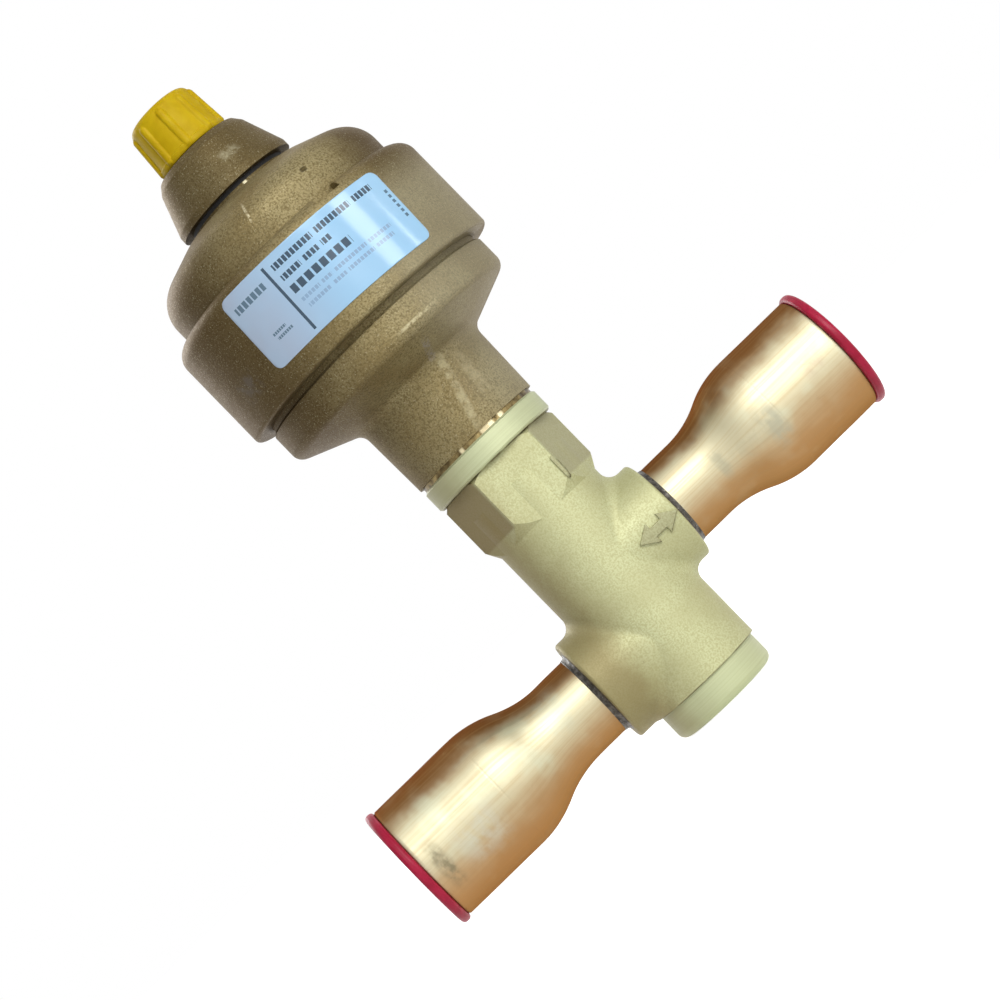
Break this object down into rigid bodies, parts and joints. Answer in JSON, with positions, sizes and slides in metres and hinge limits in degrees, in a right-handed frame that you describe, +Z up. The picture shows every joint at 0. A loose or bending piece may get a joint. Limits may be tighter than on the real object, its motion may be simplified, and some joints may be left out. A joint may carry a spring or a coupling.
{
  "type": "electronic expansion valve",
  "caption": "Brass electronic expansion valve with a geared stepper motor, offset copper solder sockets with dust plugs, and a capped round connector.",
  "frame": {"origin": "centre of the turned boss's end face, at the very bottom of the valve", "axes": "+Z up the valve's axis towards the motor and connector; +X along the high pipe, -X along the low pipe; the name label faces -Y"},
  "size_m": [0.15, 0.0714, 0.1842],
  "materials": {
    "forged_brass": "pale greenish brass, fine shot-blasted forging with turned ends",
    "cast_brass": "olive-brown sand-cast brass, blasted and darkened",
    "copper": "drawn copper, bright with brown streaks",
    "braze": "dark grey silver braze",
    "red_plastic": "crimson polyethylene",
    "yellow_plastic": "yellow polyethylene",
    "bright_metal": "bright turned metal",
    "steel": "turned steel",
    "bronze": "machined bronze",
    "white_plastic": "natural engineering plastic",
    "black_plastic": "moulded black plastic",
    "black_rubber": "moulded seal rubber",
    "copper_wire": "enamelled copper winding",
    "magnet": "bonded ferrite magnet",
    "gold_contact": "gold-plated contact",
    "label_film": "pale blue printed film"
  },
  "bodies": {
    "valve_shell": {"valve_body": "forged_brass", "low_copper_adapter": "copper", "high_copper_adapter": "copper", "low_braze_ring": "braze", "high_braze_ring": "braze", "body_gasket": "bright_metal", "seat_ring": "steel", "seat_seal": "white_plastic", "guide_sleeve": "steel", "bearing_outer_race": "steel", "bearing_clip": "steel", "idler_pin": "steel", "lower_housing": "cast_brass", "housing_seal": "black_rubber", "upper_housing": "cast_brass", "gear_plate": "steel", "gear_plate_screws": "steel", "lower_rotor_bush": "bronze", "upper_rotor_bush": "bronze", "motor_end_plate": "steel", "lower_stator_cup": "steel", "lower_pole_plate": "steel", "upper_pole_plate": "steel", "upper_stator_cup": "steel", "lower_bobbin": "white_plastic", "upper_bobbin": "white_plastic", "lower_winding": "copper_wire", "upper_winding": "copper_wire", "motor_spring_washer": "steel", "connector_cover": "cast_brass", "cover_seal": "black_rubber", "connector_shell": "bright_metal", "connector_insert": "black_plastic", "connector_contacts": "gold_contact", "name_label": "label_film"},
    "rotor": {"rotor_shaft": "steel", "rotor_hub": "white_plastic", "rotor_magnet": "magnet"},
    "idler": {"idler_gear": "bronze"},
    "screw": {"spindle": "steel", "spindle_clip": "steel", "bearing_inner_race": "steel", "output_gear": "bronze"},
    "ball_set": {"bearing_balls": "steel", "bearing_cage": "bronze"},
    "piston_set": {"piston": "steel", "piston_ring": "white_plastic", "piston_key_pin": "steel", "spindle_nut": "bronze"},
    "cap_ring": {"cap_seal": "black_rubber"},
    "cap": {"dust_cap": "yellow_plastic"},
    "low_plug": {"low_dust_plug": "red_plastic"},
    "high_plug": {"high_dust_plug": "red_plastic"}
  },
  "joints": [
    {"name": "rotor_turn", "type": "hinge", "parent": "valve_shell", "child": "rotor", "pos_m": [0, 0, 0.13], "axis": [0, 0, 1], "range_deg": [0, 19680]},
    {"name": "idler_turn", "type": "hinge", "parent": "valve_shell", "child": "idler", "pos_m": [0.01275, 0, 0.11], "axis": [0, 0, 1], "range_deg": [-6735, 0]},
    {"name": "screw_turn", "type": "hinge", "parent": "valve_shell", "child": "screw", "pos_m": [0, 0, 0.0885], "axis": [0, 0, 1], "range_deg": [0, 2305]},
    {"name": "ball_set_turn", "type": "hinge", "parent": "valve_shell", "child": "ball_set", "pos_m": [0, 0, 0.0885], "axis": [0, 0, 1], "range_deg": [0, 935]},
    {"name": "piston_lift", "type": "slide", "parent": "valve_shell", "child": "piston_set", "axis": [0, 0, 1], "range_m": [0, 0.0128]},
    {"name": "cap_ring_lift", "type": "slide", "parent": "valve_shell", "child": "cap_ring", "axis": [0, 0, 1], "range_m": [0, 0.01]},
    {"name": "cap_turn", "type": "hinge", "parent": "cap_ring", "child": "cap", "pos_m": [0, 0, 0.175], "axis": [0, 0, 1], "range_deg": [0, 3600]},
    {"name": "low_plug_pull", "type": "slide", "parent": "valve_shell", "child": "low_plug", "axis": [-1, 0, 0], "range_m": [0, 0.03]},
    {"name": "high_plug_pull", "type": "slide", "parent": "valve_shell", "child": "high_plug", "axis": [1, 0, 0], "range_m": [0, 0.03]}
  ],
  "couplings": [
    {"joint": "idler_turn", "follows": "rotor_turn", "ratio": -0.34211},
    {"joint": "screw_turn", "follows": "rotor_turn", "ratio": 0.11704},
    {"joint": "ball_set_turn", "follows": "rotor_turn", "ratio": 0.047349},
    {"joint": "piston_lift", "follows": "rotor_turn", "m_per_rad": 0.000037254},
    {"joint": "cap_ring_lift", "follows": "cap_turn", "m_per_rad": 0.00015915}
  ]
}
